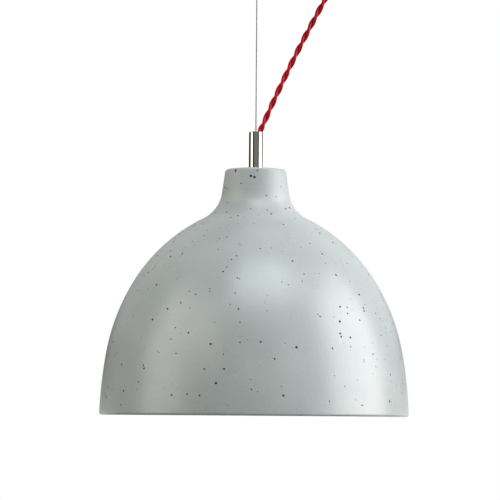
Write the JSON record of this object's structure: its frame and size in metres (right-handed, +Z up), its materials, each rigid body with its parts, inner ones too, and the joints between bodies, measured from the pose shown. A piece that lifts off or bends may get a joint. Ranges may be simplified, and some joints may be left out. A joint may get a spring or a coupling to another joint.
{
  "type": "pendant ceiling light",
  "caption": "Cast concrete dome pendant light on a steel wire, with a twisted red textile flex and a round steel ceiling canopy.",
  "frame": {"origin": "on the ceiling, at the centre of the bracket and canopy", "axes": "+Z up out of the ceiling face, +X towards the flex gland"},
  "size_m": [0.2454, 0.2454, 0.421],
  "materials": {
    "concrete": "smooth cast concrete with small air pores, satin sealed",
    "polished_steel": "polished stainless steel",
    "brushed_steel": "fine brushed stainless steel",
    "zinc_steel": "bright zinc-plated steel",
    "steel_rope": "stranded steel wire",
    "red_textile": "braided red textile over two twisted cores",
    "core_insulation": "red core insulation",
    "rubber": "black rubber",
    "black_moulding": "moulded black thermoplastic",
    "white_moulding": "moulded white nylon",
    "porcelain": "glazed porcelain",
    "brass": "plain brass",
    "opal_glass": "inside-frosted glass",
    "clear_glass": "clear stem glass",
    "aluminium": "rolled aluminium screw cap",
    "black_glass": "black glass insulator",
    "solder": "dull solder",
    "tungsten": "coiled tungsten wire"
  },
  "bodies": {
    "ceiling_fitting": {"ceiling_bracket": "zinc_steel", "bracket_nut": "zinc_steel", "canopy": "brushed_steel", "canopy_ring_nut": "polished_steel", "eye_bolt": "polished_steel", "gland_body": "brushed_steel", "gland_lock_nut": "zinc_steel", "gland_cap": "brushed_steel", "gland_seal": "rubber", "terminal_block": "white_moulding", "terminal_screws": "brass", "terminal_block_screw": "zinc_steel", "flex_tails": "core_insulation"},
    "link": {"suspension_link": "polished_steel"},
    "wire": {"wire_eye_terminal": "polished_steel", "suspension_wire": "steel_rope", "wire_stop": "aluminium", "pendant_flex": "red_textile"},
    "lamp": {"shade": "concrete", "steel_tube": "polished_steel", "rubber_washer": "rubber", "steel_washer": "zinc_steel", "shade_nut": "zinc_steel", "wire_anchor_disc": "zinc_steel", "holder_cap": "black_moulding", "holder_skirt": "black_moulding", "holder_base": "porcelain", "holder_terminals": "brass", "holder_terminal_screws": "zinc_steel", "screw_shell": "brass", "centre_contact": "brass", "inner_cores": "core_insulation"},
    "bulb": {"bulb_glass": "opal_glass", "bulb_cap": "aluminium", "bulb_insulator": "black_glass", "bulb_contact": "solder", "bulb_stem": "clear_glass", "bulb_filament": "tungsten", "bulb_lead_wires": "tungsten"}
  },
  "joints": [
    {"name": "swing_front_back", "type": "hinge", "parent": "ceiling_fitting", "child": "link", "pos_m": [0, 0, -0.052], "axis": [1, 0, 0], "range_deg": [-15, 15]},
    {"name": "swing_sideways", "type": "hinge", "parent": "link", "child": "wire", "pos_m": [0, 0, -0.065], "axis": [0, 1, 0], "range_deg": [-12, 5], "deforming": ["pendant_flex"]},
    {"name": "lamp_spin", "type": "hinge", "parent": "wire", "child": "lamp", "pos_m": [0, 0, -0.266], "axis": [0, 0, 1], "range_deg": [-90, 90]},
    {"name": "bulb_out", "type": "slide", "parent": "lamp", "child": "bulb", "axis": [0, 0, -1], "range_m": [0, 0.03]}
  ]
}
